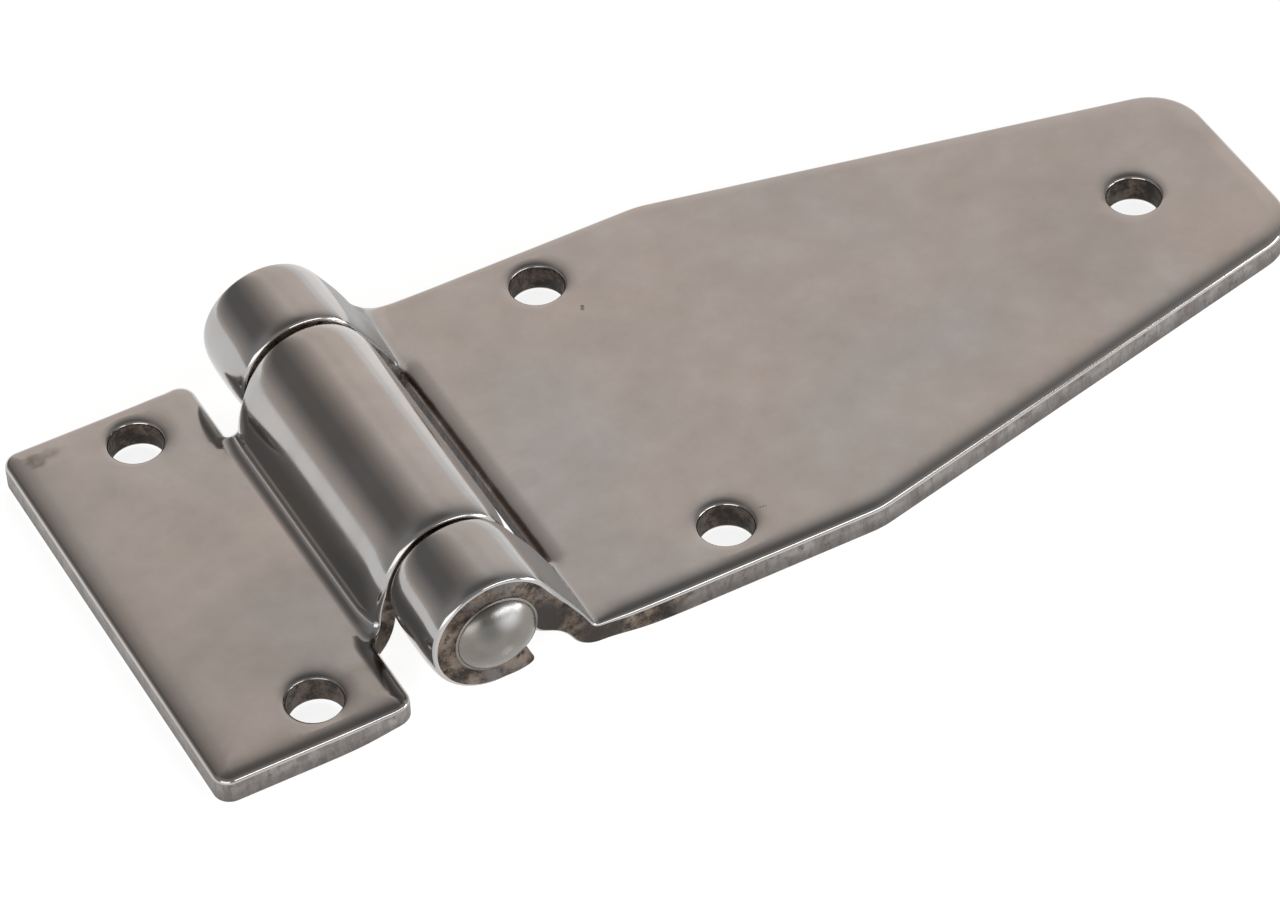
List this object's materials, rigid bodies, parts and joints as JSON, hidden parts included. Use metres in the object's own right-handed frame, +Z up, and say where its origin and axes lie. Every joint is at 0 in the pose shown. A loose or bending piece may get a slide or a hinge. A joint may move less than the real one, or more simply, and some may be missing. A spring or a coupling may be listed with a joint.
{
  "type": "strap hinge",
  "caption": "Polished stainless strap hinge: a short leaf and a long tapered strap leaf bent up from sheet and rolled into knuckles round a riveted pin, with screw holes in both leaves.",
  "frame": {"origin": "midway between the short leaf's two screw holes, on the mounting plane", "axes": "+X from the short leaf to the strap's tip, +Y along the pin, +Z up from the mounting plane"},
  "size_m": [0.1479, 0.062, 0.0171],
  "materials": {
    "polished_steel": "polished stainless, hazy, stained at the sheared edges",
    "satin_steel": "satin stainless"
  },
  "bodies": {
    "frame_side": {"short_leaf": "polished_steel"},
    "door_side": {"strap_leaf": "polished_steel", "hinge_pin": "satin_steel"}
  },
  "joints": [
    {"name": "pin_turn", "type": "hinge", "parent": "frame_side", "child": "door_side", "pos_m": [0.0195, 0, 0.0091], "axis": [0, -1, 0], "range_deg": [-90, 180]}
  ]
}
